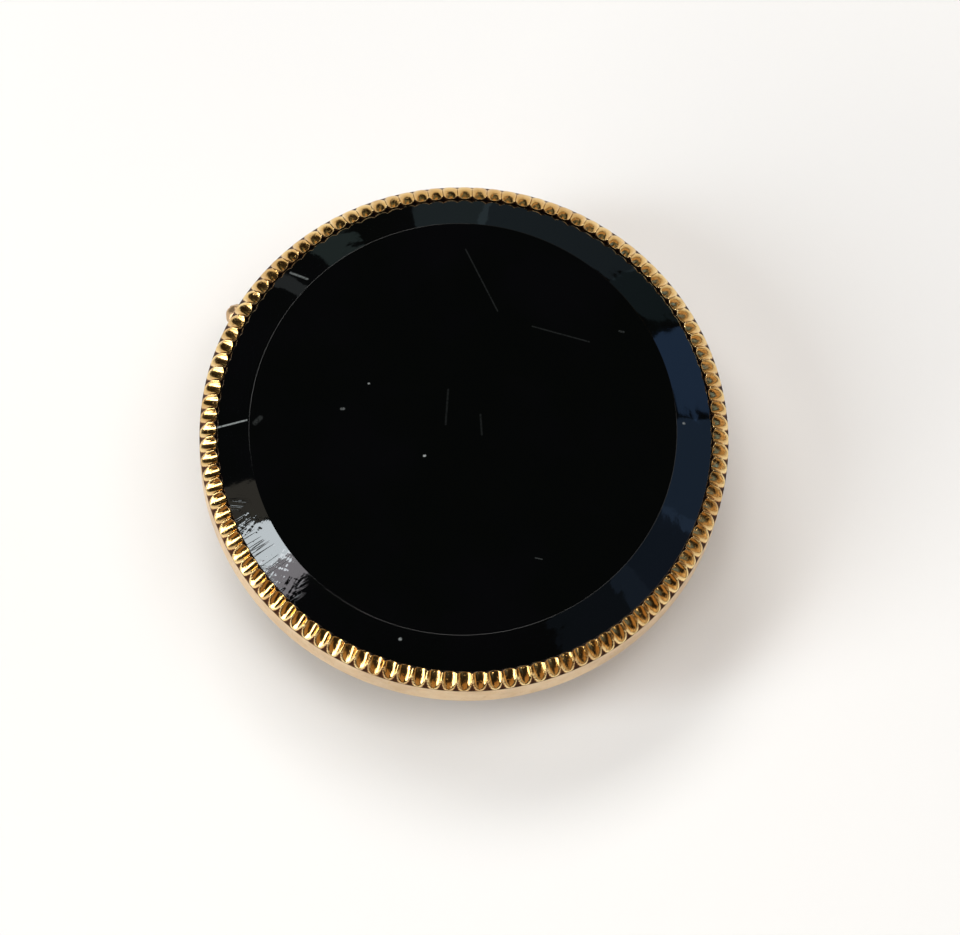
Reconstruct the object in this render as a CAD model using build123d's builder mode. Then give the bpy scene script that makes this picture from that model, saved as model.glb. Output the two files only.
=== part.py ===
"""A sew on button: a bevelled onyx tablet in a milgrain setting, with a wire loop shank on its back.

Millimetres, +Z out of the face. The origin is on the button's axis, at the lowest point of the shank.
"""

from build123d import *
import os

# ---------------------------------------------------------------- driving dimensions
LIGNE = 0.635
button_diameter = 30 * LIGNE  # a 30 ligne button

# shank
eye_radius = 1.05  # the hole that the thread goes through, which lies along X
eye_edge = 0.08  # rounding of the hole's two mouths
wire_thickness = 0.65  # of the half-round wire, measured away from the hole
wire_width = 1.10  # of the half-round wire, along the hole
leg_gap = 0.10  # the slit between the two legs
leg_corner = 0.25
foot_reach = 2.30  # from the button's axis to the end of each bent foot
foot_thickness = 0.40
collar_radius = 2.40
collar_height = 0.40  # how far it stands out of the back
collar_rounding = 0.22
solder_radius = 1.45
solder_height = 0.30

# back
plate_thickness = 0.30
panel_radius = 7.60  # the flat middle of the back plate, which stands proud of its border
step_width = 0.45  # of the slope from the panel out to the border
recess_depth = 0.10  # the collar's seat in the panel
recess_margin = 0.10
washer_radius = 2.70
washer_thickness = 0.20
card_radius = 7.25
card_hole_radius = 2.90
card_thickness = 0.75
cement_radius = 8.55
cement_thickness = 0.15

# setting
band_thickness = 0.40
band_wall = 1.50  # height of the smooth wall under the milled rim
band_turn_in = 0.95  # width of the lower edge that is turned in over the back plate
band_edge = 0.35  # thickness of that edge
band_corner = 0.30
panel_proud = 0.10  # the panel stands this far below the turned-in edge
bearing_width = 0.45

# milled rim
rim_width = 0.58
rim_height = 0.60
flute_count = 108
flute_radius = 0.30  # of the file that cuts the flutes
flute_depth = 0.16
flute_tilt = 25.0  # degrees that each flute leans out and down
lip_clearance = 0.03  # between the lip and the bevel of the stone

# stone
stone_clearance = 0.04  # between the stone's edge and the band
stone_foot_chamfer = 0.10
table_radius = 7.72
table_offset = 0.10  # the hand-ground table is off centre by this much, towards -X
table_rounding = 0.05
bevel_rise = 0.72
girdle_height = 0.73

# solder bead over the band's joint
bead_radius = 0.42
bead_drop = 0.55  # its centre, below the band's top
bead_sink = 0.10  # its centre, inside the band's outer face
bead_angle = 150.0  # degrees round from +X

# ---------------------------------------------------------------- worked out from them
button_radius = button_diameter / 2
band_inner = button_radius - band_thickness
stone_radius = band_inner - stone_clearance

loop_radius = eye_radius + wire_thickness
leg_span = 2 * wire_thickness + leg_gap
eye_z = loop_radius
collar_z = 2 * loop_radius
back_z = collar_z + collar_height
plate_top = back_z + plate_thickness
band_z = back_z + panel_proud
border_z = band_z + band_edge
border_top = border_z + plate_thickness
border_radius = panel_radius + step_width
foot_z = plate_top + recess_depth + washer_thickness
foot_top = foot_z + foot_thickness
card_top = plate_top + card_thickness
stone_z = card_top + cement_thickness
girdle_z = stone_z + girdle_height
table_z = girdle_z + bevel_rise
rim_z = band_z + band_wall
rim_bead_radius = rim_width / 2
rim_centre_radius = button_radius - rim_bead_radius
rim_centre_z = rim_z + rim_height - rim_bead_radius
bevel_slope = bevel_rise / (stone_radius - table_radius)

os.makedirs("parts", exist_ok=True)


def finish(part, name):
    """Label a finished piece, write it and print its volume."""
    part.label = name
    export_step(part, f"parts/{name}.step")
    print(f"{name}: {part.volume:.3f} mm3")


def ring_profile(inner, outer, low, high):
    """A rectangle of a ring's cross-section, in the sketch that is open."""
    with Locations(((inner + outer) / 2, (low + high) / 2)):
        Rectangle(outer - inner, high - low)


def leg_outline(mode=Mode.ADD):
    """The outline of the two legs side by side, in the sketch that is open."""
    RectangleRounded(wire_width, leg_span, leg_corner, mode=mode)


# ---------------------------------------------------------------- stone
with BuildPart() as onyx_tablet:
    with BuildSketch(Plane.XY.offset(stone_z)):
        Circle(stone_radius)
    extrude(amount=girdle_height)
    chamfer(onyx_tablet.edges().sort_by(Axis.Z)[0], stone_foot_chamfer)
    with BuildSketch(Plane.XY.offset(girdle_z)):
        Circle(stone_radius)
    with BuildSketch(Plane.XY.offset(table_z)):
        with Locations((-table_offset, 0)):
            Circle(table_radius)
    loft()
    fillet(onyx_tablet.edges().group_by(Axis.Z)[-1], table_rounding)
finish(onyx_tablet.part, "onyx_tablet")

# ---------------------------------------------------------------- milled rim
with BuildPart() as milgrain_bezel:
    with BuildSketch(Plane.XZ) as rim_profile:
        ring_profile(button_radius - rim_width, button_radius, rim_z, rim_centre_z)
        with Locations((rim_centre_radius, rim_centre_z)):
            Circle(rim_bead_radius)
        # the seat follows the bevel of the stone, with the lip's clearance over it
        lip_z = girdle_z + lip_clearance
        with BuildLine():
            Polyline(
                (0, rim_z - 1),
                (band_inner, rim_z - 1),
                (band_inner, lip_z - bevel_slope * stone_clearance),
                (table_radius, lip_z + bevel_rise),
                (0, lip_z + bevel_rise),
                close=True,
            )
        make_face(mode=Mode.SUBTRACT)
    revolve(axis=Axis.Z)
    # each flute is a file stroke across the bead, in line with the button's axis
    with PolarLocations(0, flute_count):
        with Locations(Location((rim_centre_radius, 0, rim_centre_z), (0, flute_tilt, 0))):
            with Locations((0, 0, rim_bead_radius - flute_depth + flute_radius)):
                Cylinder(flute_radius, 2 * rim_width, rotation=(0, 90, 0), mode=Mode.SUBTRACT)
finish(milgrain_bezel.part, "milgrain_bezel")

# ---------------------------------------------------------------- band
with BuildPart() as setting_band:
    with BuildSketch(Plane.XZ) as band_profile:
        ring_profile(band_inner, button_radius, band_z, rim_z)
        ring_profile(button_radius - band_turn_in, button_radius, band_z, border_z)
        fillet(band_profile.vertices().group_by(Axis.Y)[0].sort_by(Axis.X)[-1], band_corner)
    revolve(axis=Axis.Z)
finish(setting_band.part, "setting_band")

with BuildPart() as seam_bead:
    bead_middle = button_radius - bead_sink
    with Locations(Rotation(0, 0, bead_angle)):
        with Locations((bead_middle, 0, rim_z - bead_drop)):
            Sphere(bead_radius)
    add(setting_band.part, mode=Mode.SUBTRACT)
    with BuildSketch():
        Circle(button_radius - band_thickness / 2)
    extrude(amount=2 * table_z, mode=Mode.SUBTRACT)
finish(seam_bead.part, "seam_bead")

# ---------------------------------------------------------------- inside the setting
with BuildPart() as bearing_ring:
    with BuildSketch(Plane.XZ):
        ring_profile(band_inner - bearing_width, band_inner, border_top, stone_z)
    revolve(axis=Axis.Z)
    chamfer(bearing_ring.edges().group_by(Axis.Z)[-1].sort_by(SortBy.RADIUS)[0], 0.1)
finish(bearing_ring.part, "bearing_ring")

with BuildPart() as stone_cement:
    with BuildSketch(Plane.XY.offset(card_top)):
        Circle(cement_radius)
    extrude(amount=cement_thickness)
finish(stone_cement.part, "stone_cement")

with BuildPart() as packing_disc:
    with BuildSketch(Plane.XY.offset(plate_top)):
        Circle(card_radius)
        Circle(card_hole_radius, mode=Mode.SUBTRACT)
    extrude(amount=card_thickness)
finish(packing_disc.part, "packing_disc")

# ---------------------------------------------------------------- back
with BuildPart() as back_plate:
    with BuildSketch(Plane.XZ):
        with BuildLine():
            # underside from the axis to the border, then back along the top
            seat_radius = collar_radius + recess_margin
            Polyline(
                (0, back_z + recess_depth),
                (seat_radius, back_z + recess_depth),
                (seat_radius, back_z),
                (panel_radius, back_z),
                (border_radius, border_z),
                (band_inner, border_z),
                (band_inner, border_top),
                (border_radius - plate_thickness / 2, border_top),
                (panel_radius - plate_thickness / 2, plate_top),
                (washer_radius, plate_top),
                (washer_radius, plate_top + recess_depth),
                (0, plate_top + recess_depth),
                close=True,
            )
        make_face()
    revolve(axis=Axis.Z)
    with BuildSketch():
        leg_outline()
    extrude(amount=2 * table_z, mode=Mode.SUBTRACT)
finish(back_plate.part, "back_plate")

with BuildPart() as clinch_washer:
    with BuildSketch(Plane.XY.offset(plate_top + recess_depth)):
        Circle(washer_radius)
        leg_outline(mode=Mode.SUBTRACT)
    extrude(amount=washer_thickness)
finish(clinch_washer.part, "clinch_washer")

# ---------------------------------------------------------------- shank
with BuildPart() as shank_collar:
    with BuildSketch(Plane.XY.offset(collar_z)):
        Circle(collar_radius)
        leg_outline(mode=Mode.SUBTRACT)
    extrude(amount=collar_height + recess_depth)
    collar_edge = shank_collar.edges().group_by(Axis.Z)[0].sort_by(SortBy.LENGTH)[-1]
    fillet(collar_edge, collar_rounding)
finish(shank_collar.part, "shank_collar")

with BuildPart() as shank_loop:
    # the wire's half-round section: flat towards the hole, so that the hole is a true cylinder
    with BuildSketch(Plane((0, 0, eye_z), x_dir=(1, 0, 0), z_dir=(0, -1, 0))):
        half_width = wire_width / 2
        flank = eye_radius + wire_thickness - half_width
        with BuildLine():
            Polyline(
                (-half_width, flank),
                (-half_width, eye_radius),
                (half_width, eye_radius),
                (half_width, flank),
            )
            ThreePointArc((half_width, flank), (0, loop_radius), (-half_width, flank))
        wire_section = make_face()
        fillet(wire_section.vertices().group_by(Axis.Y)[0], eye_edge)
    revolve(axis=Axis((0, 0, eye_z), (1, 0, 0)))
    # the legs run up through the collar, the back and the washer, and their ends are bent apart
    leg_z = eye_z + eye_radius + eye_edge
    with BuildSketch(Plane.XY.offset(leg_z)):
        leg_outline()
    extrude(amount=foot_top - leg_z)
    with BuildSketch(Plane.XY.offset(foot_z)):
        RectangleRounded(wire_width, 2 * foot_reach, leg_corner)
    extrude(amount=foot_thickness)
    closed_loop = shank_loop.part
    with BuildSketch(Plane.XY.offset(eye_z + eye_radius / 2)):
        Rectangle(2 * wire_width, leg_gap)
    extrude(amount=foot_top, mode=Mode.SUBTRACT)
finish(shank_loop.part, "shank_loop")

with BuildPart() as shank_solder:
    with Locations((0, 0, collar_z - solder_height)):
        Cone(
            solder_radius - solder_height,
            solder_radius,
            solder_height,
            align=(Align.CENTER, Align.CENTER, Align.MIN),
        )
    add(closed_loop, mode=Mode.SUBTRACT)
finish(shank_solder.part, "shank_solder")
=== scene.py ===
"""The looks of the sew on button: polished onyx, milled gold rim, satin gold band, back and shank.

Everything is in metres in the CAD frame: +Z out of the face, origin at the lowest point of the shank.
"""
import bpy
import math
import random
from mathutils import Matrix, Vector, noise


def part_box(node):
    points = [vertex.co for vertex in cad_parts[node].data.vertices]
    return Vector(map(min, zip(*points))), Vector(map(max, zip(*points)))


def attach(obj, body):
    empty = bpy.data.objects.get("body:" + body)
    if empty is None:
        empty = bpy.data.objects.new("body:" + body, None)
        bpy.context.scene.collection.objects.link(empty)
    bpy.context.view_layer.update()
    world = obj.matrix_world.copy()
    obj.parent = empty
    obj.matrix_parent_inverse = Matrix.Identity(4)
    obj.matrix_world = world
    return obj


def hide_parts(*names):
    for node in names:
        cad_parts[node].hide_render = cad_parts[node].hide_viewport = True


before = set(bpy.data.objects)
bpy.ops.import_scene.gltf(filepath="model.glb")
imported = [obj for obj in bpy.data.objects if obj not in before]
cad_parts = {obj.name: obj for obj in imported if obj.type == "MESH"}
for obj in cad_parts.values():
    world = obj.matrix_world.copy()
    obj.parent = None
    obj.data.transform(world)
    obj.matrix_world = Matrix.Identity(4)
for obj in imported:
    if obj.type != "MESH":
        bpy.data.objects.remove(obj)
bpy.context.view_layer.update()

MM = 0.001
BODY = "root"
TAU = 2 * math.pi
random.seed(30)

# ---------------------------------------------------------------- sizes, from the frame
rim_low, rim_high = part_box("milgrain_bezel")
stone_low, stone_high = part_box("onyx_tablet")
band_low, band_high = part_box("setting_band")
plate_low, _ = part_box("back_plate")
collar_low, collar_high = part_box("shank_collar")
_, loop_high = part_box("shank_loop")
solder_low, solder_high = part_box("shank_solder")
bead_low, bead_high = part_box("seam_bead")

button_radius = rim_high.x
rim_bead_radius = 0.29 * MM  # of the milled rim's half-round top
rim_centre_radius = button_radius - rim_bead_radius
band_inner = button_radius - 0.40 * MM

# the stone's table and bevel, as they are in the CAD
stone_radius = stone_high.y
table_radius = 7.72 * MM
table_offset = 0.10 * MM
bevel_rise = 0.72 * MM
girdle_z = stone_high.z - bevel_rise
bevel_slope = bevel_rise / (stone_radius - table_radius)
PETALS = 108


# ---------------------------------------------------------------- mesh tools
def new_piece(name, verts, faces):
    """A smooth-shaded mesh object with these points and faces, riding on the button."""
    mesh = bpy.data.meshes.new(name)
    mesh.from_pydata(verts, [], faces)
    mesh.validate()
    mesh.shade_smooth()
    piece = bpy.data.objects.new(name, mesh)
    bpy.context.scene.collection.objects.link(piece)
    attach(piece, BODY)
    return piece


def polar(radius, angle, z):
    return (radius * math.cos(angle), radius * math.sin(angle), z)


def closed_grid(columns, rows):
    """Quads of a grid that closes both ways: columns round the axis, rows round the section."""
    faces = []
    for i in range(columns):
        j = (i + 1) % columns
        for k in range(rows):
            m = (k + 1) % rows
            faces.append((i * rows + k, j * rows + k, j * rows + m, i * rows + m))
    return faces


def lathe_ring(name, section, columns, place=polar):
    """A ring whose section is the closed outline of (r, z) points, anticlockwise."""
    verts = [place(r, TAU * i / columns, z) for i in range(columns) for r, z in section]
    return new_piece(name, verts, closed_grid(columns, len(section)))


def lathe_solid(name, section, columns, place=polar):
    """A solid of revolution. The section runs from its lowest point on the axis to its highest one."""
    body = section[1:-1]
    rows = len(body)
    verts = [place(r, TAU * i / columns, z) for i in range(columns) for r, z in body]
    low, high = len(verts), len(verts) + 1
    verts += [place(0, 0, section[0][1]), place(0, 0, section[-1][1])]
    faces = []
    for i in range(columns):
        j = (i + 1) % columns
        for k in range(rows - 1):
            faces.append((i * rows + k, j * rows + k, j * rows + k + 1, i * rows + k + 1))
        faces.append((low, j * rows, i * rows))
        faces.append((high, i * rows + rows - 1, j * rows + rows - 1))
    return new_piece(name, verts, faces)


def arc(centre, radius, start, end, steps):
    """Points (r, z) on an arc, with angles in degrees from +r towards +z."""
    points = []
    for i in range(steps + 1):
        a = math.radians(start + (end - start) * i / steps)
        points.append((centre[0] + radius * math.cos(a), centre[1] + radius * math.sin(a)))
    return points


def line(start, end, steps):
    """Points (r, z) from start to end, both left out."""
    return [
        (start[0] + (end[0] - start[0]) * i / steps, start[1] + (end[1] - start[1]) * i / steps)
        for i in range(1, steps)
    ]


# ---------------------------------------------------------------- stone
def stone_section():
    """Flat foot, upright girdle, bevel and table, with every edge a little rounded by polishing."""
    slope = math.degrees(math.atan(bevel_slope))
    foot, edge, worn = 0.10 * MM, 0.06 * MM, 0.02 * MM
    tangent = math.tan(math.radians(slope / 2))
    section = [(0, stone_low.z), (table_radius * 0.5, stone_low.z)]
    section += [(stone_radius - foot, stone_low.z), (stone_radius, stone_low.z + foot)]
    section += line(section[-1], (stone_radius, girdle_z - edge), 6)
    # girdle to bevel, then bevel to table
    half = math.radians((90 - slope) / 2)
    back = edge * math.tan(half)
    section += arc((stone_radius - edge, girdle_z - back), edge, 0, 90 - slope, 8)
    start = section[-1]
    table_arc = arc((table_radius - worn * tangent, stone_high.z - worn), worn, 90 - slope, 90, 10)
    section += line(start, table_arc[0], 16) + table_arc
    section += line(table_arc[-1], (0, stone_high.z), 24)
    return section + [(0, stone_high.z)]


def hand_ground(radius, angle, z):
    """Moves the table off centre, and its outline a little in and out, as a hand-held lap leaves it."""
    share = min(1.0, max(0.0, (z - girdle_z) / bevel_rise)) if z > girdle_z else 0.0
    flat = min(1.0, radius / table_radius)
    wander = 0.045 * MM * (math.cos(2 * angle - 2.6) + 0.6 * math.cos(3 * angle + 0.7))
    x, y, z = polar(radius + wander * share * flat, angle, z)
    return (x - table_offset * share, y, z)


# ---------------------------------------------------------------- milled rim
def rounded(points, rounds):
    """An open line with its corners cut again and again, until it is smooth."""
    for _ in range(rounds):
        cut = [points[0]]
        for (r0, z0), (r1, z1) in zip(points, points[1:]):
            cut.append((r0 * 0.75 + r1 * 0.25, z0 * 0.75 + z1 * 0.25))
            cut.append((r0 * 0.25 + r1 * 0.75, z0 * 0.25 + z1 * 0.75))
        points = cut + [points[-1]]
    return points


def milled_rim():
    """The rim: 108 hollow petals side by side, each a wheel's cut that slopes down and out over the edge."""
    # the columns of one petal, in pitches from its middle: closest beside the ridges
    across = [-0.46, -0.40, -0.32, -0.22, -0.11, 0, 0.11, 0.22, 0.32, 0.40, 0.46, 0.5]
    cut_slope = math.radians(34.5)
    cut_length = 0.70 * MM
    wheel = 0.31 * MM  # radius of the wheel that cuts the petals
    bulge = 0.045 * MM  # how far a cut stands over a straight line, halfway down it
    blend = 0.006 * MM  # rounding where a cut meets the surface
    valley, valley_way = 0.05 * MM, 0.03 * MM  # depth of the corners between the tips, and how soon
    valley_fade = 0.08 * MM  # height over the foot in which they run out
    notch, notch_way = 0.08 * MM, 0.13 * MM  # how far the ridges draw back from the lip, and over what width
    full_corner, full_dish = 0.02 * MM, 0.10 * MM  # depths at which the two colour masks reach 1
    clearance = 0.022 * MM  # between the lip and the stone's bevel
    pitch = TAU / PETALS
    foot_z = rim_low.z + 0.01 * MM
    tip = (button_radius, rim_low.z + 0.06 * MM)
    # the unmilled surface, from the lip over the crest and down to the foot
    outline = [(8.935, 5.868), (8.965, 5.915), (9.01, 5.962), (9.08, 6.0), (9.23, 5.965), (9.365, 5.765)]
    outline = [(r * MM, z * MM) for r, z in outline]
    outline += [(button_radius, rim_low.z + 0.10 * MM), (button_radius, foot_z)]
    path = rounded(outline, 3)
    up_r, up_z = math.sin(cut_slope), math.cos(cut_slope)
    heights = []
    for r, z in path:
        along = 1 + ((r - tip[0]) * up_z - (z - tip[1]) * up_r) / cut_length
        crown = bulge * max(0.0, 4 * along * (1 - along))
        heights.append((r - tip[0]) * up_r + (z - tip[1]) * up_z - crown)

    petals = []
    for p in range(PETALS):
        petals.append({
            "shift": random.uniform(-0.03, 0.03),
            "lean": random.uniform(-0.05, 0.05),
            "high": random.uniform(-0.010, 0.012) * MM,
            "wheel": wheel * random.uniform(0.94, 1.06),
        })

    def above_cut(petal, t, k):
        """Height of the unmilled surface over this petal's cut, t pitches from the petal's middle."""
        lean = petal["lean"] * (k / len(path) - 0.5)
        aside = (t - petal["shift"] - lean) * pitch * rim_centre_radius
        rise = petal["wheel"] - math.sqrt(max(0.0, petal["wheel"] ** 2 - aside ** 2))
        return heights[k] - rise - petal["high"]

    columns = []
    for p, petal in enumerate(petals):
        nxt = petals[(p + 1) % PETALS]
        for t in across:
            column = []
            for k, (r, z) in enumerate(path):
                over = max(above_cut(petal, t, k), above_cut(nxt, t - 1, k))
                share = over / blend
                hollow = blend * (share if share > 30 else math.log1p(math.exp(share)))
                beyond = max(0.0, -over) * min(1.0, (z - foot_z) / valley_fade)
                hollow += valley * (1 - math.exp(-beyond / valley_way))
                # the ridges stop short of the lip, so that each petal ends in a lobe
                way = (r - path[0][0]) / notch_way
                back = notch * (abs(t) / 0.5) ** 3 * max(0.0, 1 - way) ** 1.5
                column.append((r - up_r * hollow + back, z - up_z * hollow, hollow, over))
            columns.append((pitch * (p + t), column))

    verts, tarnish_and_shade, dish_shade = [], [], []
    for angle, column in columns:
        verts += [polar(r, angle, z) for r, z, _, _ in column]
        # foot, seat and underside of the lip
        foot_r = button_radius - 0.045 * MM
        seat_r = band_inner + 0.005 * MM
        under_r = min(seat_r, column[0][0] + 0.012 * MM)
        under_z = girdle_z + clearance + bevel_slope * (stone_radius - under_r)
        seat_z = girdle_z + clearance + bevel_slope * (stone_radius - seat_r)
        verts.append(polar(foot_r, angle, rim_low.z))
        verts.append(polar((foot_r + seat_r) / 2, angle, rim_low.z))
        verts.append(polar(seat_r, angle, rim_low.z))
        verts.append(polar(seat_r, angle, seat_z))
        verts.append(polar(under_r, angle, under_z))
        # tarnish and painted shade: the deeper the cut and the nearer a corner between the tips, the darker
        for r, z, hollow, over in column:
            corner = min(1.0, max(0.0, -over) / full_corner)
            tarnish_and_shade.append(0.25 * hollow / wheel + corner)
            dish_shade.append(min(1.0, max(0.0, over) / full_dish))
        # tarnish and painted shade on the foot, seat and underside of the lip
        tarnish_and_shade += [0.8, 1.0, 1.0, 1.0, 0.9]
        dish_shade += [0.0] * 5
    faces = [tuple(reversed(f)) for f in closed_grid(len(columns), len(path) + 5)]
    piece = new_piece("rim_milgrain", verts, faces)
    # tarnish and painted shade: darker in the deep parts of the cuts, the notches, the corners between the
    # petals' tips, and on the foot, seat and underside of the lip
    sunk = piece.data.attributes.new("sunk", "FLOAT", "POINT")
    sunk.data.foreach_set("value", tarnish_and_shade)
    # painted shade: the petals' hollow middles are browned, more where the cut is deeper
    worn = piece.data.attributes.new("dish_shade", "FLOAT", "POINT")
    worn.data.foreach_set("value", dish_shade)
    return piece


# ---------------------------------------------------------------- band and back
def band_section():
    """The smooth wall, its rounded lower corner and the edge that is turned in over the back."""
    corner, edge, top_edge, chamfer = 0.30 * MM, 0.12 * MM, 0.05 * MM, 0.04 * MM
    low, high = band_low.z, band_high.z
    inner_r, lip_top = button_radius - 0.95 * MM, low + 0.35 * MM
    section = [(band_inner, high - 0.02 * MM), (band_inner, lip_top + chamfer)]
    section += [(band_inner - chamfer, lip_top)]
    section += line((band_inner - chamfer, lip_top), (inner_r + edge, lip_top), 3)
    section += arc((inner_r + edge, lip_top - edge), edge, 90, 180, 6)
    section += arc((inner_r + edge, low + edge), edge, 180, 270, 6)
    section += line(section[-1], (button_radius - corner, low), 4)
    section += arc((button_radius - corner, low + corner), corner, -90, 0, 12)
    section += line(section[-1], (button_radius, high - top_edge), 10)
    section += arc((button_radius - top_edge, high - top_edge), top_edge, 0, 90, 4)
    return section


def hand_bent(radius, angle, z):
    """A band that was bent round and burnished by hand is never quite true."""
    height = (z - band_low.z) / (band_high.z - band_low.z)
    sway = noise.noise(Vector((2.2 * math.cos(angle), 2.2 * math.sin(angle), 1.2 * height)))
    ripple = noise.noise(Vector((9 * math.cos(angle), 9 * math.sin(angle), 4 * height)))
    inward = 0.010 * MM * (1 + sway) + 0.003 * MM * (1 + ripple)
    return polar(radius - inward, angle, z)


def plate_section():
    """The pressed back: a flat panel that stands proud, a soft step, and the border under the band."""
    thick = 0.30 * MM
    panel, step = 7.60 * MM, 0.45 * MM
    low, border = plate_low.z, band_low.z + 0.35 * MM
    recess, seat, mouth = 0.10 * MM, 2.50 * MM, 0.04 * MM
    washer = 2.70 * MM
    rise = border - low
    slope = math.degrees(math.atan2(rise, step))
    soft = 0.25 * MM
    reach = soft * math.tan(math.radians(slope / 2))
    section = [(0, low + recess), (seat - mouth, low + recess), (seat, low + recess - mouth)]
    section += arc((seat + mouth, low + mouth), mouth, 180, 270, 4)
    section += line(section[-1], (panel - reach, low), 12)
    section += arc((panel - reach, low + soft), soft, -90, -90 + slope, 8)
    section += arc((panel + step + reach, border - soft), soft, 90 + slope, 90, 8)
    section += [(band_inner - 0.01 * MM, border), (band_inner - 0.01 * MM, border + thick)]
    section += [(panel + step - thick / 2, border + thick), (panel - thick / 2, low + thick)]
    section += [(washer, low + thick), (washer, low + thick + recess)]
    return section + [(0, low + thick + recess)]


def collar_section():
    """The stamped boss round the shank: flat seat, rounded shoulder and a slightly hollow face."""
    radius, low, high = collar_high.x, collar_low.z, collar_high.z
    soft = 0.22 * MM
    section = [(0, low + 0.03 * MM), (radius * 0.3, low + 0.028 * MM), (radius * 0.6, low + 0.015 * MM)]
    section += arc((radius - soft, low + soft), soft, -90, 0, 10)
    section += [(radius, high - 0.03 * MM), (radius - 0.03 * MM, high)]
    return section + [(0, high)]


# ---------------------------------------------------------------- shank
def half_round(path, width, thickness):
    """Points and faces of a closed half-round bar. path holds (flat side's middle, way out) pairs."""
    half, soft = width / 2, 0.08
    section = [(-half + soft, 0.0), (0.0, 0.0), (half - soft, 0.0), (half - soft * 0.3, soft * 0.3)]
    section += [(half, soft)]
    rise = thickness - soft
    for i in range(13):
        a = math.pi * i / 12
        section.append((half * math.cos(a), soft + rise * math.sin(a)))
    section += [(-half + soft * 0.3, soft * 0.3)]
    rows = len(section)
    verts = []
    for (y, z), (out_y, out_z) in path:
        verts += [(x, y + out_y * out, z + out_z * out) for x, out in section]
    faces = []
    for i in range(len(path) - 1):
        for k in range(rows):
            m = (k + 1) % rows
            faces.append((i * rows + k, i * rows + m, (i + 1) * rows + m, (i + 1) * rows + k))
    last = (len(path) - 1) * rows
    faces.append(tuple(reversed(range(rows))))
    faces.append(tuple(range(last, last + rows)))
    return verts, faces


def fused(name, solids, voxel, rounds):
    """One closed skin round overlapping solids, given in millimetres, softened where they meet."""
    verts, faces = [], []
    for solid_verts, solid_faces in solids:
        start = len(verts)
        verts += solid_verts
        faces += [tuple(start + v for v in f) for f in solid_faces]
    mesh = bpy.data.meshes.new(name + "_blank")
    mesh.from_pydata(verts, [], faces)
    blank = bpy.data.objects.new(name + "_blank", mesh)
    bpy.context.scene.collection.objects.link(blank)
    remesh = blank.modifiers.new("skin", "REMESH")
    remesh.mode = "VOXEL"
    remesh.voxel_size = voxel
    smooth = blank.modifiers.new("soften", "SMOOTH")
    smooth.factor = 0.5
    smooth.iterations = rounds
    graph = bpy.context.evaluated_depsgraph_get()
    skin = bpy.data.meshes.new_from_object(blank.evaluated_get(graph))
    points = [tuple(c * MM for c in v.co) for v in skin.vertices]
    polygons = [tuple(p.vertices) for p in skin.polygons]
    bpy.data.objects.remove(blank)
    bpy.data.meshes.remove(mesh)
    bpy.data.meshes.remove(skin)
    return new_piece(name, points, polygons)


def wire_loop():
    """The shank: a half-round wire bent into an eye, its two legs side by side, its ends bent apart."""
    # in millimetres: the wire, half the slit between its legs, the eye and the bent ends
    width, thickness, gap, eye, foot = 1.10, 0.65, 0.05, 1.05, 0.40
    voxel, softening = 0.03, 4
    eye_z = thickness + eye
    top, reach = loop_high.z / MM, loop_high.y / MM
    leg_low, leg_high = eye_z + eye + 0.02, top - 0.02
    open_angle = math.degrees(math.asin(gap / eye))
    ring = []
    steps = 96
    for i in range(steps + 1):
        a = math.radians(90 + open_angle + (360 - 2 * open_angle) * i / steps)
        ring.append(((eye * math.cos(a), eye_z + eye * math.sin(a)), (math.cos(a), math.sin(a))))
    solids = [half_round(ring, width, thickness)]
    for side in (-1, 1):
        leg = [((side * gap, leg_low + (leg_high - leg_low) * i / 8), (side, 0)) for i in range(9)]
        toe = [((side * (gap + (reach - gap) * i / 6), top), (0, -1)) for i in range(7)]
        solids.append(half_round(leg, width, thickness))
        solids.append(half_round(toe, width, foot))
    return fused("shank_wire_loop", solids, voxel, softening)


def solder_section():
    """Solder drawn up between the loop and the collar, hollow-sided as it wets them both."""
    low, high, outer = solder_low.z, solder_high.z, solder_high.x
    neck, overlap = outer - 0.62 * MM, 0.02 * MM
    drop = high - low
    section = [(0, low), (neck * 0.6, low)]
    for i in range(9):
        t = i / 8
        section.append((neck + (outer - neck) * t, high - drop * (1 - t) ** 2.2))
    section.append((outer - overlap, high + overlap))
    return section + [(0, high + overlap)]


def uneven_solder(radius, angle, z):
    lump = noise.noise(Vector((1.7 * math.cos(angle), 1.7 * math.sin(angle), z / MM)))
    return polar(radius * (0.97 + 0.05 * lump), angle, z)


def seam_lump():
    """The lump of solder over the joint of the band, an uneven ball that is sunk into the wall."""
    middle = (bead_low + bead_high) / 2
    angle = math.atan2(middle.y, middle.x)
    tall = (bead_high.z - bead_low.z) / 2
    centre = Vector(polar(button_radius - 0.06 * MM, angle, middle.z))
    rows, columns = 24, 36
    verts, faces = [], []
    for k in range(1, rows):
        for i in range(columns):
            a, b = math.pi * k / rows, TAU * i / columns
            way = Vector((math.sin(a) * math.cos(b), math.sin(a) * math.sin(b), math.cos(a)))
            lump = 1 + 0.10 * noise.noise(way * 2.3) - 0.03
            verts.append(tuple(centre + way * tall * lump))
    for k in range(rows - 2):
        for i in range(columns):
            j = (i + 1) % columns
            faces.append((k * columns + i, (k + 1) * columns + i, (k + 1) * columns + j, k * columns + j))
    high, low = len(verts), len(verts) + 1
    verts += [tuple(centre + Vector((0, 0, tall))), tuple(centre - Vector((0, 0, tall)))]
    last = (rows - 2) * columns
    for i in range(columns):
        j = (i + 1) % columns
        faces.append((high, i, j))
        faces.append((low, last + j, last + i))
    return new_piece("seam_lump", verts, faces)


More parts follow.
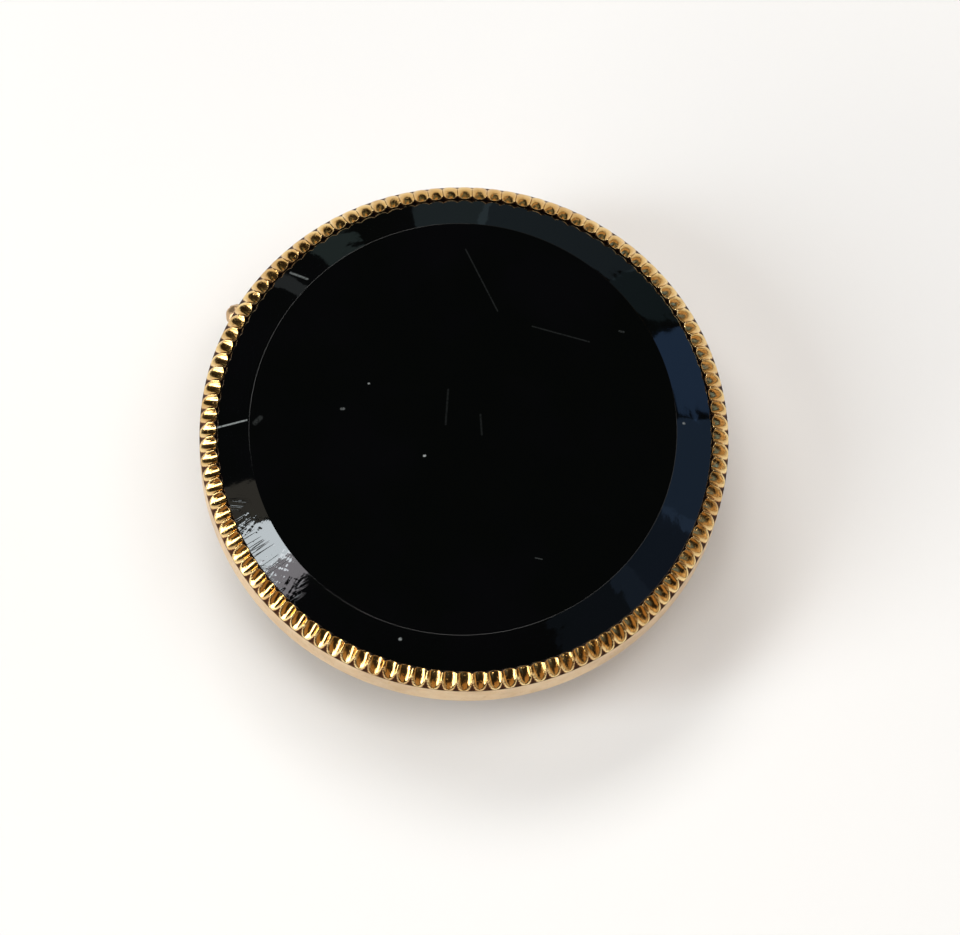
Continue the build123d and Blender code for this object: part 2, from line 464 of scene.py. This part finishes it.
# ---------------------------------------------------------------- material tools
class Shader:
    """A Principled material and short ways to add nodes to it. Lengths are in millimetres."""

    def __init__(self, name):
        self.material = bpy.data.materials.new(name)
        self.material.use_nodes = True
        self.tree = self.material.node_tree
        self.bsdf = self.tree.nodes["Principled BSDF"]
        place = self.tree.nodes.new("ShaderNodeTexCoord")
        scale = self.tree.nodes.new("ShaderNodeVectorMath")
        scale.operation = "SCALE"
        scale.inputs["Scale"].default_value = 1 / MM
        self.tree.links.new(place.outputs["Object"], scale.inputs[0])
        self.place = scale.outputs[0]

    def set(self, **values):
        for name, value in values.items():
            self.bsdf.inputs[name.replace("_", " ")].default_value = value

    def plug(self, value, socket):
        """Link an output, or set a plain number or colour, on this input."""
        if isinstance(value, bpy.types.NodeSocket):
            self.tree.links.new(value, socket)
        else:
            socket.default_value = value

    def drive(self, name, value):
        self.tree.links.new(value, self.bsdf.inputs[name])

    def math(self, operation, *values, clamp=False):
        made = self.tree.nodes.new("ShaderNodeMath")
        made.operation = operation
        made.use_clamp = clamp
        for value, socket in zip(values, made.inputs):
            self.plug(value, socket)
        return made.outputs[0]

    def span(self, value, low, high, to_low=0.0, to_high=1.0):
        """Maps low..high smoothly onto to_low..to_high."""
        made = self.tree.nodes.new("ShaderNodeMapRange")
        made.interpolation_type = "SMOOTHSTEP"
        for socket, number in zip(made.inputs[1:5], (low, high, to_low, to_high)):
            socket.default_value = number
        self.plug(value, made.inputs[0])
        return made.outputs[0]

    def turned(self, degrees, stretch=(1, 1, 1), tilt=0.0):
        """The place in millimetres, turned about Z and then stretched."""
        turn = self.tree.nodes.new("ShaderNodeMapping")
        turn.inputs["Rotation"].default_value = (math.radians(tilt), 0, math.radians(degrees))
        self.tree.links.new(self.place, turn.inputs["Vector"])
        made = self.tree.nodes.new("ShaderNodeVectorMath")
        made.operation = "MULTIPLY"
        made.inputs[1].default_value = stretch
        self.tree.links.new(turn.outputs[0], made.inputs[0])
        return made.outputs[0]

    def noise(self, per_mm, detail=3.0, rough=0.55, place=None):
        made = self.tree.nodes.new("ShaderNodeTexNoise")
        made.inputs["Scale"].default_value = per_mm
        made.inputs["Detail"].default_value = detail
        made.inputs["Roughness"].default_value = rough
        self.tree.links.new(place or self.place, made.inputs["Vector"])
        return made.outputs["Fac"]

    def mix(self, share, first, second):
        made = self.tree.nodes.new("ShaderNodeMix")
        made.data_type = "RGBA"
        self.plug(share, made.inputs[0])
        for value, socket in ((first, made.inputs[6]), (second, made.inputs[7])):
            if isinstance(value, tuple):
                value = (*value[:3], 1.0)
            self.plug(value, socket)
        return made.outputs[2]

    def hairlines(self, angles, per_mm=9.0, length=14.0, thin=0.035):
        """Fine straight scratches that run at these angles: 1 on a line, 0 between them."""
        total = None
        for i, angle in enumerate(angles):
            lines = self.noise(per_mm / length, 1.0, 0.4, self.turned(angle, (1, length, 1), 3.0 * i))
            centre = self.math("ABSOLUTE", self.math("SUBTRACT", lines, 0.5))
            line_mask = self.span(centre, 0.0, thin, 1.0, 0.0)
            here = self.span(self.noise(0.35, 2.0, 0.6, self.turned(angle + 40, (1, 1, 1))), 0.50, 0.62)
            line_mask = self.math("MULTIPLY", line_mask, here)
            total = line_mask if total is None else self.math("MAXIMUM", total, line_mask)
        return total

    def bump(self, height, depth_mm, strength=1.0, after=None):
        made = self.tree.nodes.new("ShaderNodeBump")
        made.inputs["Distance"].default_value = depth_mm * MM
        made.inputs["Strength"].default_value = strength
        self.tree.links.new(height, made.inputs["Height"])
        if after is not None:
            self.tree.links.new(after, made.inputs["Normal"])
        return made.outputs["Normal"]

    def attribute(self, name):
        made = self.tree.nodes.new("ShaderNodeAttribute")
        made.attribute_name = name
        return made.outputs["Fac"]

    def near_line(self, start, end, width):
        """1 on the straight mark between two (x, y) points, 0 beyond its width."""
        split = self.tree.nodes.new("ShaderNodeSeparateXYZ")
        self.tree.links.new(self.place, split.inputs[0])
        x, y = split.outputs[0], split.outputs[1]
        way = Vector(end) - Vector(start)
        length = max(way.length, 1e-4)
        ux, uy = way.x / length, way.y / length
        along = self.math(
            "ADD",
            self.math("MULTIPLY", self.math("SUBTRACT", x, start[0]), ux),
            self.math("MULTIPLY", self.math("SUBTRACT", y, start[1]), uy),
        )
        past = self.math("SUBTRACT", along, self.math("MINIMUM", self.math("MAXIMUM", along, 0.0), length))
        aside = self.math(
            "SUBTRACT",
            self.math("MULTIPLY", self.math("SUBTRACT", y, start[1]), ux),
            self.math("MULTIPLY", self.math("SUBTRACT", x, start[0]), uy),
        )
        squares = self.math("ADD", self.math("MULTIPLY", past, past), self.math("MULTIPLY", aside, aside))
        return self.span(self.math("SQRT", squares), width * 0.3, width, 1.0, 0.0)


# ---------------------------------------------------------------- materials
def onyx():
    """Polished black stone: wet-looking gloss, a lap's slight waviness, hairlines and a few real marks."""
    s = Shader("polished_onyx")
    s.set(IOR=1.54)
    field = s.hairlines((12, 67, 101, 158), per_mm=7.0, length=22.0, thin=0.03)
    worn_edge = s.near_line((-8.1, -3.4), (-6.4, -5.9), 1.0)
    # each mark: where it starts and ends as (x, y), its width and how strongly it shows
    marks = [
        ((0.0, 6.8), (1.16, 4.45), 0.035, 0.05),
        ((2.41, 3.89), (4.46, 3.33), 0.035, 0.05),
        ((-0.62, 1.45), (-0.71, 0.14), 0.05, 0.035),
        ((0.54, 0.52), (0.59, -0.23), 0.05, 0.035),
        ((2.5, -4.83), (2.74, -4.88), 0.03, 0.14),
        ((5.55, 3.75), (5.7, 3.72), 0.05, 0.12),
        ((-7.55, 0.10), (-7.35, 0.30), 0.12, 0.08),
        ((-7.85, 0.22), (-8.95, 0.10), 0.045, 0.85),
        ((-5.70, 5.62), (-6.3, 5.98), 0.06, 0.45),
        ((-1.48, -1.06), (-1.45, -1.05), 0.06, 1.0),
        ((-3.48, 1.64), (-3.46, 1.64), 0.05, 0.7),
        ((-4.45, 0.67), (-4.37, 0.68), 0.07, 0.35),
        ((7.85, 0.33), (7.87, 0.33), 0.06, 1.0),
        ((-2.32, -7.85), (-2.30, -7.85), 0.07, 1.0),
    ]
    placed = None
    for start, end, width, strength in marks:
        mark = s.math("MULTIPLY", s.near_line(start, end, width), strength)
        placed = mark if placed is None else s.math("MAXIMUM", placed, mark)
    grain = s.noise(14.0, 2.0, 0.6)
    placed = s.math("MULTIPLY", placed, s.span(grain, 0.30, 0.55, 0.35, 1.0))
    cloud = s.span(s.noise(0.22, 3.0, 0.6), 0.4, 0.65)
    body = s.mix(cloud, (0.0005, 0.0009, 0.0009), (0.0008, 0.0010, 0.0014))
    s.drive("Base Color", s.mix(placed, body, (0.20, 0.22, 0.22)))
    film = s.span(s.noise(0.5, 4.0, 0.65), 0.35, 0.75, 0.03, 0.06)
    rough = s.math("MAXIMUM", film, s.math("MULTIPLY", placed, 0.45))
    s.drive("Roughness", rough)
    lap = s.bump(s.noise(0.75, 2.0, 0.5), 0.010)
    orange = s.bump(s.noise(5.0, 2.0, 0.5), 0.0006, after=lap)
    rubs = s.math(
        "ADD",
        s.noise(0.7, 2.0, 0.55, s.turned(28, (1, 4.5, 1))),
        s.noise(0.7, 2.0, 0.55, s.turned(-52, (1, 4.5, 1))),
    )
    orange = s.bump(s.math("MULTIPLY", rubs, worn_edge), 0.011, after=orange)
    # the hairlines show on the worn part of the bevel, and hardly anywhere else
    shown = s.math("MULTIPLY", field, s.math("ADD", s.math("MULTIPLY", worn_edge, 0.9), 0.004))
    s.drive("Normal", s.bump(shown, 0.004, strength=0.9, after=orange))
    return s.material


def gold(name, bright, deep, rough, lines, line_depth, worn=0.5, milled=False):
    """Gold plate over brass: colour that drifts, dull patches, fine scratches and small pits.

    On the milled rim, painted shade browns the petals' hollow middles, and tarnish with painted shade
    darkens the deep cuts, the notches, the corners between the petals' tips and the faces under the lip.
    """
    s = Shader(name)
    s.set(Metallic=1.0)
    drift = s.span(s.noise(0.55, 4.0, 0.6), 0.38, 0.66)
    spots = s.span(s.noise(4.5, 3.0, 0.6), 0.60, 0.72, 0.0, worn)
    dark = s.math("MAXIMUM", s.math("MULTIPLY", drift, 0.55), spots)
    colour = s.mix(dark, bright, deep)
    grime_and_shade = None
    if milled:
        # tarnish and painted shade: the sunk parts are mixed towards deep brown
        low = s.attribute("sunk")
        colour = s.mix(s.span(low, 0.25, 0.70, 0.0, 0.8), colour, deep)
        # painted shade: the petals' hollow middles are mixed towards brown by the depth of the cut
        dish_shade = s.math("MULTIPLY", s.attribute("dish_shade"), s.span(s.noise(3.0), 0.3, 0.6, 0.7, 1.0))
        colour = s.mix(dish_shade, colour, (0.68, 0.40, 0.125))
        # tarnish and painted shade: near black in the deepest corners and under the lip
        grime_and_shade = s.span(s.math("ADD", low, s.math("MULTIPLY", s.noise(6.0), 0.5)), 0.85, 1.30)
        colour = s.mix(grime_and_shade, colour, (0.055, 0.020, 0.009))
    s.drive("Base Color", colour)
    scratch = s.hairlines(lines, per_mm=11.0, length=16.0, thin=0.05)
    cloud = s.span(s.noise(1.6, 4.0, 0.65), 0.30, 0.72, rough[0], rough[1])
    worn_rough = s.math("MAXIMUM", cloud, s.math("MULTIPLY", scratch, rough[1] * 1.25))
    if grime_and_shade is not None:
        worn_rough = s.math("MAXIMUM", worn_rough, s.math("MULTIPLY", grime_and_shade, 0.6))
    s.drive("Roughness", worn_rough)
    pits = s.span(s.noise(9.0, 2.0, 0.5), 0.62, 0.78, 1.0, 0.0)
    pitted = s.bump(pits, 0.006, strength=0.7)
    soft = s.bump(s.noise(2.2, 3.0, 0.5), 0.012, strength=0.6, after=pitted)
    s.drive("Normal", s.bump(scratch, line_depth, strength=0.8, after=soft))
    return s.material


def soft_solder():
    """Grey tin and lead solder, frosty where it froze last."""
    s = Shader("grey_solder")
    s.set(Metallic=1.0)
    frost = s.span(s.noise(3.5, 5.0, 0.7), 0.35, 0.7)
    s.drive("Base Color", s.mix(frost, (0.50, 0.48, 0.44), (0.26, 0.24, 0.22)))
    s.drive("Roughness", s.span(frost, 0.0, 1.0, 0.30, 0.62))
    s.drive("Normal", s.bump(s.noise(7.0, 4.0, 0.6), 0.02, strength=0.6))
    return s.material


def cement():
    """Brown shellac cement with dust and tiny bubbles."""
    s = Shader("brown_cement")
    tone = s.noise(1.5, 5.0, 0.65)
    s.drive("Base Color", s.mix(s.span(tone, 0.3, 0.7), (0.06, 0.028, 0.014), (0.15, 0.080, 0.040)))
    s.drive("Roughness", s.span(tone, 0.3, 0.7, 0.35, 0.7))
    s.drive("Normal", s.bump(s.noise(8.0, 3.0, 0.6), 0.02, strength=0.7))
    return s.material


def card():
    """Grey-brown packing card with fibres that run both ways."""
    s = Shader("packing_card")
    fibres = s.hairlines((8, 95, 140), per_mm=8.0, length=9.0, thin=0.12)
    tone = s.span(s.noise(0.9, 5.0, 0.7), 0.3, 0.7)
    base = s.mix(tone, (0.42, 0.35, 0.25), (0.30, 0.25, 0.18))
    s.drive("Base Color", s.mix(s.math("MULTIPLY", fibres, 0.5), base, (0.52, 0.46, 0.36)))
    s.drive("Roughness", s.span(tone, 0.0, 1.0, 0.85, 0.97))
    s.drive("Normal", s.bump(fibres, 0.02, strength=0.6))
    return s.material


# ---------------------------------------------------------------- pieces
def dress(piece, material, slot, *nodes):
    """Gives a new piece its material and hides the CAD nodes that it stands for. The slot argument is not
    used.
    """
    piece.data.materials.append(material)
    if nodes:
        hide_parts(*nodes)


BRIGHT, DEEP = (1.0, 0.77, 0.38), (0.40, 0.15, 0.03)
WARM = (0.96, 0.70, 0.34)
PALE, TAN = (0.77, 0.57, 0.34), (0.54, 0.36, 0.19)

rim_gold = gold("rim_gold", BRIGHT, DEEP, (0.11, 0.19), (30, 75, 120), 0.0015, 0.35, milled=True)
band_gold = gold("band_gold", PALE, TAN, (0.30, 0.46), (5, 172), 0.002, 0.6)
back_gold = gold("back_gold", PALE, TAN, (0.26, 0.44), (15, 60, 130, 170), 0.003, 0.8)
wire_gold = gold("wire_gold", WARM, TAN, (0.20, 0.34), (20, 85, 160), 0.002, 0.6)
lump_gold = gold("lump_gold", (0.60, 0.42, 0.24), (0.34, 0.20, 0.10), (0.34, 0.55), (40, 110), 0.003, 0.8)
brass = gold("inner_brass", (0.66, 0.50, 0.22), (0.40, 0.27, 0.10), (0.36, 0.52), (25, 100), 0.003, 0.8)

dress(lathe_solid("onyx_stone", stone_section(), 540, hand_ground), onyx(), "onyx", "onyx_tablet")
dress(milled_rim(), rim_gold, "rim_gold", "milgrain_bezel")
dress(lathe_ring("smooth_band", band_section(), 540, hand_bent), band_gold, "band_gold", "setting_band")
dress(seam_lump(), lump_gold, "solder", "seam_bead")
dress(lathe_solid("pressed_back", plate_section(), 360), back_gold, "back_gold", "back_plate")
dress(lathe_solid("stamped_collar", collar_section(), 180), back_gold, "collar_gold", "shank_collar")
dress(wire_loop(), wire_gold, "shank_wire", "shank_loop")
fillet = lathe_solid("solder_fillet", solder_section(), 120, uneven_solder)
dress(fillet, soft_solder(), "soft_solder", "shank_solder")

for node_name, node_material in (
    ("bearing_ring", brass),
    ("clinch_washer", brass),
    ("stone_cement", cement()),
    ("packing_disc", card()),
):
    for material_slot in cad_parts[node_name].material_slots:
        material_slot.material = node_material


# ---------------------------------------------------------------- floor, light and camera
def studio_floor():
    """A plain pale table top. From below it lets the view through, so the back can be seen."""
    half = 1.5
    corners = [(-half, -half, 0), (half, -half, 0), (half, half, 0), (-half, half, 0)]
    mesh = bpy.data.meshes.new("floor")
    mesh.from_pydata(corners, [], [(0, 1, 2, 3)])
    floor = bpy.data.objects.new("floor", mesh)
    bpy.context.scene.collection.objects.link(floor)
    floor.location.z = -0.02 * MM  # just clear of the shank
    s = Shader("pale_floor")
    tone = s.span(s.noise(0.02, 2.0, 0.5), 0.3, 0.7)
    s.drive("Base Color", s.mix(tone, (0.74, 0.74, 0.74), (0.77, 0.77, 0.765)))
    s.set(Roughness=0.7)
    side = s.tree.nodes.new("ShaderNodeNewGeometry")
    clear = s.tree.nodes.new("ShaderNodeBsdfTransparent")
    choose = s.tree.nodes.new("ShaderNodeMixShader")
    output = s.tree.nodes["Material Output"]
    s.tree.links.new(side.outputs["Backfacing"], choose.inputs[0])
    s.tree.links.new(s.bsdf.outputs[0], choose.inputs[1])
    s.tree.links.new(clear.outputs[0], choose.inputs[2])
    s.tree.links.new(choose.outputs[0], output.inputs["Surface"])
    mesh.materials.append(s.material)


def from_angles(azimuth, elevation):
    """The unit vector towards a compass angle, anticlockwise from +X, and a height above the table."""
    a, e = math.radians(azimuth), math.radians(elevation)
    return Vector((math.cos(a) * math.cos(e), math.sin(a) * math.cos(e), math.sin(e)))


def soft_box(name, azimuth, elevation, wide, tall, radiance, colour, distance=0.5):
    """A rectangular studio light that spans wide by tall degrees as seen from the button."""
    light = bpy.data.lights.new(name, "AREA")
    light.shape = "RECTANGLE"
    light.size = 2 * distance * math.tan(math.radians(wide / 2))
    light.size_y = 2 * distance * math.tan(math.radians(tall / 2))
    light.energy = radiance * math.pi * light.size * light.size_y
    light.color = colour
    lamp = bpy.data.objects.new(name, light)
    way = from_angles(azimuth, elevation)
    lamp.location = Vector((0, 0, stone_high.z)) + way * distance
    lamp.rotation_mode = "QUATERNION"
    lamp.rotation_quaternion = (-way).to_track_quat("-Z", "Y")
    lamp.visible_camera = False
    bpy.context.scene.collection.objects.link(lamp)


def studio_world(radiance, colour):
    world = bpy.data.worlds.new("studio")
    world.use_nodes = True
    background = world.node_tree.nodes["Background"]
    background.inputs["Color"].default_value = (*colour, 1.0)
    background.inputs["Strength"].default_value = radiance
    bpy.context.scene.world = world


def studio_camera():
    """Looks down on the face from slightly in front, with the button left of and above the middle."""
    azimuth, elevation, distance = 262.7, 72.2, 300 * MM
    view_width = 34.5 * MM
    way = from_angles(azimuth, elevation)
    right = Vector((0, 1, 0)).cross(way).normalized()
    up = way.cross(right)
    # the point of the face that it looks at, moved to put the button left of and above the middle
    lip_height, to_the_right, below = 5.82 * MM, 0.549 * MM, 1.217 * MM
    aim = Vector((0, 0, lip_height)) + right * to_the_right - up * below
    data = bpy.data.cameras.new("camera")
    data.sensor_width = 36.0
    data.lens = data.sensor_width * distance / view_width
    data.clip_start, data.clip_end = 0.005, 10.0
    camera = bpy.data.objects.new("camera", data)
    camera.matrix_world = Matrix((
        (right.x, up.x, way.x, aim.x + way.x * distance),
        (right.y, up.y, way.y, aim.y + way.y * distance),
        (right.z, up.z, way.z, aim.z + way.z * distance),
        (0, 0, 0, 1),
    ))
    bpy.context.scene.collection.objects.link(camera)
    bpy.context.scene.camera = camera


studio_floor()
studio_world(0.022, (1.0, 0.85, 0.70))
# Name, azimuth, elevation, wide, tall, radiance, colour. The first six light the floor and the gold, and
# the window also shows in the stone's bevel. The petals mirror those whose names start with warm.
# The rest are dim panels that the bevel mirrors.
for light in (
    ("window", 193, 38, 11, 30, 12.0, (0.88, 0.96, 1.0)),
    ("window_side", 204, 36, 8, 34, 3.6, (1.0, 0.95, 1.0)),
    ("window_low", 208, 14, 34, 20, 6.4, (1.0, 0.97, 0.92)),
    ("upper_left", 120, 56, 36, 19, 6.4, (1.0, 0.99, 0.97)),
    ("ceiling", 262, 84, 26, 20, 6.8, (1.0, 0.98, 0.95)),
    ("ceiling_right", 0, 67, 40, 22, 2.4, (1.0, 0.98, 0.95)),
    ("front_right", -37, 44, 24, 12, 0.06, (0.7, 1.0, 1.5)),
    ("right_near", 31, 26, 23, 9, 0.36, (0.5, 1.0, 2.0)),
    ("right_middle", 9, 33, 26, 13, 0.27, (0.55, 1.0, 1.8)),
    ("right_far", -13, 40, 22, 13, 0.12, (0.6, 1.0, 1.7)),
    ("back_right", 50, 19, 14, 9, 0.12, (0.6, 1.0, 1.15)),
    ("back", 71, 16, 27, 9, 0.17, (0.7, 1.0, 1.2)),
    ("warm_right", 30, 49, 40, 10, 0.55, (1.0, 0.62, 0.30)),
    ("back_left", 90, 16, 13, 10, 0.22, (0.7, 1.0, 1.08)),
    ("back_gap", 112, 19, 8, 8, 0.28, (0.7, 1.0, 0.95)),
    ("back_slit", 124, 21, 3, 8, 0.28, (0.9, 1.0, 1.0)),
    ("window_frame", 179, 40, 9, 14, 0.45, (1.1, 1.0, 0.8)),
    ("warm_right_low", -38, 10, 56, 12, 0.55, (1.0, 0.78, 0.56)),
    ("warm_front_low", -95, 22, 50, 22, 0.45, (1.0, 0.60, 0.28)),
    ("warm_right_grazing", 30, 8, 90, 10, 0.60, (1.0, 0.74, 0.50)),
    ("warm_right_gap", -4, 17, 56, 8, 0.60, (1.0, 0.70, 0.42)),
    ("warm_back_low", 88, 28, 42, 9, 0.70, (1.0, 0.70, 0.42)),
    ("warm_back", 85, 42, 50, 14, 0.45, (1.0, 0.68, 0.36)),
):
    soft_box(*light)
studio_camera()
bpy.context.scene.view_settings.view_transform = "Standard"
